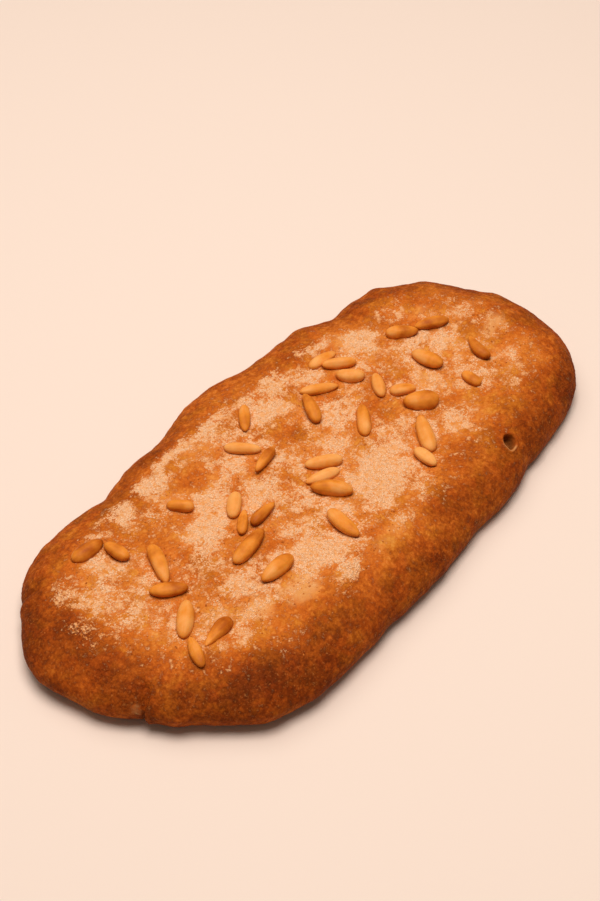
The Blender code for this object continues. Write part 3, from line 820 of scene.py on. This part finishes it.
NUT = kernel_material("roasted_kernel", (0.87, 0.455, 0.145), (0.77, 0.285, 0.032), (0.45, 0.110, 0.004))


# =============================================================================================
# Kernels
# =============================================================================================
# how brown each kernel is, and how much browner its pointed end is than its blunt end
TOAST = {
    1: (0.46, 0.22), 2: (0.54, -0.38), 3: (0.36, -0.30), 4: (0.60, -0.25), 5: (0.47, -0.10), 6: (0.24, 0.0),
    7: (0.24, 0.0), 8: (0.16, 0.0), 9: (0.28, 0.10), 10: (0.48, 0.0), 11: (0.22, 0.05), 12: (0.28, -0.10),
    13: (0.46, -0.02), 14: (0.36, 0.12), 15: (0.26, 0.28), 16: (0.08, 0.0), 17: (0.38, -0.12), 18: (0.10, -0.05),
    19: (0.56, -0.05), 20: (0.16, -0.08), 21: (0.10, 0.0), 22: (0.36, 0.15), 23: (0.14, 0.0), 24: (0.48, -0.25),
    25: (0.58, -0.20), 26: (0.54, 0.30), 27: (0.32, 0.0), 28: (0.38, -0.06), 29: (0.46, 0.14), 30: (0.68, 0.05),
    31: (0.50, 0.05), 32: (0.34, -0.08), 33: (0.56, 0.05), 34: (0.18, -0.08), 35: (0.60, -0.22), 36: (0.40, -0.35),
}
ALONG, AROUND = 34, 36


def build_kernel(k, n):
    rng = np.random.default_rng(500 + k)
    # rows are closer at the ends
    a = np.linspace(0, pi, ALONG + 1)[1:-1]
    t = -np.cos(a)
    th = np.linspace(0, 2 * pi, AROUND, endpoint=False)
    T, TH = np.meshgrid(t, th, indexing="ij")
    g = girth(T, n["form"])
    half = n["length"] / 2
    bend = n["form"][2] * n["length"]
    lift = rng.uniform(-0.015, 0.02) * n["length"]
    # soft flats along the kernel, a little askew from one end to the other
    twist = rng.uniform(-0.5, 0.5) * T
    facet = 1 + 0.045 * np.cos(2 * (TH - rng.uniform(0, pi)) + twist) * (1 - T * T) + 0.030 * np.cos(3 * TH + rng.uniform(0, 6) + twist) * (1 - T ** 4)
    facet = facet + 0.014 * np.cos(5 * TH + rng.uniform(0, 6) + 2 * twist) * (1 - T ** 4)
    X = T * half
    Y = np.cos(TH) * g * n["width"] / 2 * facet + bend * (1 - T * T) - bend * 0.5
    Z = np.sign(np.sin(TH)) * np.abs(np.sin(TH)) ** 0.86 * g * n["thick"] / 2 * facet + lift * (1 - T * T) - lift * 0.5
    local = np.stack([X.ravel(), Y.ravel(), Z.ravel()], 1)
    lumps = 0.055 * fractal(local + 40 * k, 4.0, 3, 900 + k) * (1 - np.abs(T.ravel()) ** 6)
    local[:, 1:] *= (1 + lumps / (n["width"] / 2))[:, None]
    tips = np.array([[-half, -bend * 0.5, -lift * 0.5], [half, -bend * 0.5, -lift * 0.5]])
    local = np.concatenate([local, tips])
    world = n["middle"] + local[:, :1] * n["axis"] + local[:, 1:2] * n["side"] + local[:, 2:3] * n["up"]
    rows, m = len(t), AROUND
    quads = [(r * m + c, r * m + (c + 1) % m, (r + 1) * m + (c + 1) % m, (r + 1) * m + c) for r in range(rows - 1) for c in range(m)]
    tri = [(rows * m, (c + 1) % m, c) for c in range(m)] + [(rows * m + 1, (rows - 1) * m + c, (rows - 1) * m + (c + 1) % m) for c in range(m)]
    me = bpy.data.meshes.new(n["name"] + "_look")
    me.from_pydata((world * MM).tolist(), [], quads + tri)
    bm = bmesh.new()
    bm.from_mesh(me)
    bmesh.ops.recalc_face_normals(bm, faces=bm.faces)
    bm.to_mesh(me)
    bm.free()
    me.shade_smooth()
    base, slant = TOAST[k + 1]
    face, along = rng.uniform(50, 130), rng.uniform(-0.5, 0.5)
    TT = np.concatenate([T.ravel(), [-1, 1]])
    TTH = np.concatenate([TH.ravel(), [0, 0]])
    spot = np.exp(-((TT - along) / 0.55) ** 2) * np.clip(0.55 + 0.6 * np.cos(TTH - radians(face)), 0, 1)
    tips_brown = 0.20 * np.exp(-((TT + 1) / 0.14) ** 2) + 0.10 * np.exp(-((TT - 1) / 0.10) ** 2)
    # the lower side is darker: partly browning where it sits in the crust, partly painted shade on the underside
    seated_browning_and_shade = ease(0.55 - np.sin(TTH) * np.sqrt(np.maximum(0, 1 - TT ** 6)), 0.0, 0.85)
    toast = 0.85 * base - 0.5 * slant * TT + 0.20 * spot * (0.3 + base) + 0.6 * tips_brown + 0.15 * fractal(local + 70 * k, 6.0, 3, 77 + k)
    toast = toast - 0.03 + 0.18 * seated_browning_and_shade
    # faint streaks along the length
    toast = toast + 0.085 * fractal(np.stack([3 * np.cos(TTH), 3 * np.sin(TTH), 1.3 * TT], 1) + 11 * k, 1.1, 2, 61 + k)
    at = me.attributes.new("toast", "FLOAT", "POINT")
    at.data.foreach_set("value", np.clip(toast, 0, 1).astype(np.float32))
    me.materials.append(NUT)
    o = bpy.data.objects.new(n["name"] + "_look", me)
    bpy.context.scene.collection.objects.link(o)
    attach(o, "root")
    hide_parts(n["name"])
    return o


for k, n in enumerate(KERNELS):
    build_kernel(k, n)


# =============================================================================================
# Loose sugar, at true size: coarse crystals, fine crystals and little fused lumps
# =============================================================================================
CUBE = np.array([[x, y, z] for x in (-1, 1) for y in (-1, 1) for z in (-1, 1)], float) / 2
CUBE_FACES = [[0, 1, 3, 2], [4, 6, 7, 5], [0, 4, 5, 1], [2, 3, 7, 6], [0, 2, 6, 4], [1, 5, 7, 3]]
GEM = np.array([[1, 0, 0], [-1, 0, 0], [0, 1, 0], [0, -1, 0], [0, 0, 1], [0, 0, -1]], float) / 2
GEM_FACES = [[0, 2, 4], [2, 1, 4], [1, 3, 4], [3, 0, 4], [2, 0, 5], [1, 2, 5], [3, 1, 5], [0, 3, 5]]


def ball():
    bm = bmesh.new()
    bmesh.ops.create_icosphere(bm, subdivisions=1, radius=0.5)
    co = np.array([v.co for v in bm.verts])
    fs = [[v.index for v in f.verts] for f in bm.faces]
    bm.free()
    return co, fs


def scatter(count, seed, clump, weight_of, spacing):
    """Random places on the crust: position, normal and sugar strength there."""
    rng = np.random.default_rng(seed)
    mesh.calc_loop_triangles()
    tri = np.empty(len(mesh.loop_triangles) * 3, np.int32)
    mesh.loop_triangles.foreach_get("vertices", tri)
    tri = tri.reshape(-1, 3)
    p = info["p"]
    a, b, c = p[tri[:, 0]], p[tri[:, 1]], p[tri[:, 2]]
    normal = np.cross(b - a, c - a)
    area = np.linalg.norm(normal, axis=1) / 2
    normal /= np.maximum(area * 2, 1e-9)[:, None]
    sugar = info["sugar"][tri].mean(1)
    open_crust = info["upper"][tri].all(1) & (info["gap"][tri].min(1) > 0.05)
    weight = weight_of(sugar, info["paste"][tri].mean(1)) * open_crust * (1 - info["hole"][tri].max(1)) * ease(normal[:, 2], 0.10, 0.70) * area
    tries = count * 4
    pick = rng.choice(len(tri), size=tries, p=weight / weight.sum())
    u, v = rng.random(tries), rng.random(tries)
    over = u + v > 1
    u[over], v[over] = 1 - u[over], 1 - v[over]
    pos = a[pick] * (1 - u - v)[:, None] + b[pick] * u[:, None] + c[pick] * v[:, None]
    score = clump * (noise3(pos / 2.4, 201) + 0.8 * noise3(pos / 1.0, 203)) + rng.random(tries)
    keep = np.argsort(-score)[:count * 2]
    keep = np.sort(keep)
    # no two grains in the same little cell
    cell = np.floor(pos[keep, :2] / spacing).astype(np.int64)
    _, first = np.unique(cell[:, 0] * 100003 + cell[:, 1], return_index=True)
    keep = keep[np.sort(first)][:count]
    return pos[keep], normal[pick[keep]], sugar[pick[keep]]


def grains(name, unit, unit_faces, pos, nor, sugar, low, middle, high, flat, bury, seed, smooth=False):
    n, m = len(pos), len(unit)
    rng = np.random.default_rng(seed)
    size = np.clip(rng.lognormal(np.log(middle), 0.22, n), low, high)
    shape = unit[None] * size[:, None, None] * (1 + rng.uniform(-0.25, 0.25, (n, 1, 3)))
    shape = shape * (1 + rng.uniform(-0.16, 0.16, (n, m, 1)))
    if flat < 1:
        # lumps lie flat on the crust
        angle = rng.uniform(0, 2 * pi, n)
        X = np.stack([np.cos(angle), np.sin(angle), np.zeros(n)], 1)
        X = X - nor * (X * nor).sum(1)[:, None]
        X /= np.linalg.norm(X, axis=1)[:, None]
        Y = np.cross(nor, X)
        R = np.stack([X, Y, nor * flat], 2)
    else:
        q = rng.normal(size=(n, 4))
        q /= np.linalg.norm(q, axis=1)[:, None]
        w, x, y, z = q.T
        R = np.stack([
            np.stack([1 - 2 * (y * y + z * z), 2 * (x * y - z * w), 2 * (x * z + y * w)], 1),
            np.stack([2 * (x * y + z * w), 1 - 2 * (x * x + z * z), 2 * (y * z - x * w)], 1),
            np.stack([2 * (x * z - y * w), 2 * (y * z + x * w), 1 - 2 * (x * x + y * y)], 1)], 1)
    shape = np.einsum("nij,nkj->nki", R, shape)
    co = (shape + (pos + nor * (size * bury)[:, None])[:, None, :]).reshape(-1, 3) * MM
    fs = np.array(unit_faces)
    k = fs.shape[1]
    loops = (fs[None] + (np.arange(n) * m)[:, None, None]).reshape(-1)
    me = bpy.data.meshes.new(name)
    me.vertices.add(n * m)
    me.vertices.foreach_set("co", co.astype(np.float32).ravel())
    me.loops.add(len(loops))
    me.loops.foreach_set("vertex_index", loops.astype(np.int32))
    me.polygons.add(n * len(fs))
    me.polygons.foreach_set("loop_start", (np.arange(n * len(fs)) * k).astype(np.int32))
    me.update(calc_edges=True)
    me.validate()
    if smooth:
        me.shade_smooth()
    at = me.attributes.new("tint", "FLOAT", "POINT")
    value = np.clip(0.97 - 0.91 * ease(sugar, 0.06, 0.76) + rng.uniform(-0.24, 0.24, n), 0, 1)
    at.data.foreach_set("value", np.repeat(value, m).astype(np.float32))
    me.materials.append(SUGAR_SKIN)
    o = bpy.data.objects.new(name, me)
    bpy.context.scene.collection.objects.link(o)
    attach(o, "root")
    return o


SUGAR_SKIN = sugar_material()
spots = scatter(15500, 11, 1.5, lambda s, p: 0.0003 + 0.55 * ease(s, 0.12, 0.60) + 0.9 * ease(s, 0.45, 0.95) * (1 - 0.5 * p), 0.45)
grains("sugar_crystals", CUBE, CUBE_FACES, *spots, 0.34, 0.52, 0.90, 0.50, -0.04, 12)
spots = scatter(22000, 21, 1.0, lambda s, p: 0.0009 + 0.6 * ease(s, 0.10, 0.55) + 0.8 * ease(s, 0.4, 0.95) * (1 - 0.4 * p), 0.35)
grains("sugar_fine", GEM, GEM_FACES, *spots, 0.28, 0.42, 0.64, 0.62, -0.02, 22)
ball_co, ball_faces = ball()
spots = scatter(2200, 31, 1.2, lambda s, p: 0.0002 + 1.0 * ease(s, 0.35, 0.95) * (1 - 0.4 * p), 1.2)
grains("sugar_lumps", ball_co, ball_faces, *spots, 0.6, 1.0, 1.9, 0.36, -0.04, 32, smooth=True)
for piece in bpy.data.objects:
    if piece.type == "MESH" and ("sugar" in piece.name or piece is bread):
        print(piece.name, "triangles", sum(len(q.vertices) - 2 for q in piece.data.polygons))


# =============================================================================================
# Floor, light, camera
# =============================================================================================
def stage():
    bpy.ops.mesh.primitive_plane_add(size=6.0, location=(0, 0, 0))
    floor = bpy.context.object
    floor.name = "floor"
    m = Nodes("pale_floor")
    m.shader.inputs["Base Color"].default_value = (0.85, 0.815, 0.81, 1)
    m.shader.inputs["Roughness"].default_value = 0.85
    m.shader.inputs["Specular IOR Level"].default_value = 0.2
    floor.data.materials.append(m.material)


def area_light(name, place, target, size, power, colour):
    data = bpy.data.lights.new(name, "AREA")
    data.shape = "DISK"
    data.size = size
    data.energy = power
    data.color = colour
    o = bpy.data.objects.new(name, data)
    bpy.context.scene.collection.objects.link(o)
    o.location = place
    o.rotation_mode = "QUATERNION"
    o.rotation_quaternion = (Vector(target) - Vector(place)).to_track_quat("-Z", "Y")
    return o


stage()
FORWARD, RIGHT = Vector((0.7660, 0.6428, 0)), Vector((0.6428, -0.7660, 0))


def around(forward, right, up):
    return FORWARD * forward + RIGHT * right + Vector((0, 0, up))


WARM = (1.0, 0.815, 0.675)
area_light("key", around(-0.03, 0.05, 1.38), (0, 0, 0), 0.84, 14.2, WARM)
area_light("overhead", around(0.45, -0.35, 1.5), (0, 0, 0), 1.6, 10.8, WARM)
world = bpy.data.worlds.new("soft_room")
world.use_nodes = True
world.node_tree.nodes["Background"].inputs["Color"].default_value = (1.0, 0.74, 0.53, 1)
world.node_tree.nodes["Background"].inputs["Strength"].default_value = 0.17
bpy.context.scene.world = world
bpy.context.scene.view_settings.view_transform = "Standard"
bpy.context.scene.view_settings.look = "None"

# The camera looks down 46.5 degrees on the bread, whose long side runs away to the upper right.
camera = bpy.data.objects.new("camera", bpy.data.cameras.new("camera"))
bpy.context.scene.collection.objects.link(camera)
camera.location = (-0.3913, -0.3205, 0.563)
pitch = radians(46.5)
look = Vector((FORWARD.x * cos(pitch), FORWARD.y * cos(pitch), -sin(pitch)))
camera.rotation_mode = "QUATERNION"
camera.rotation_quaternion = look.to_track_quat("-Z", "Y")
camera.data.sensor_width = 36.0
camera.data.lens = 1762.0 / 901.0 * 36.0
camera.data.clip_start = 0.01
camera.data.clip_end = 20.0
bpy.context.scene.camera = camera

bpy.context.view_layer.update()
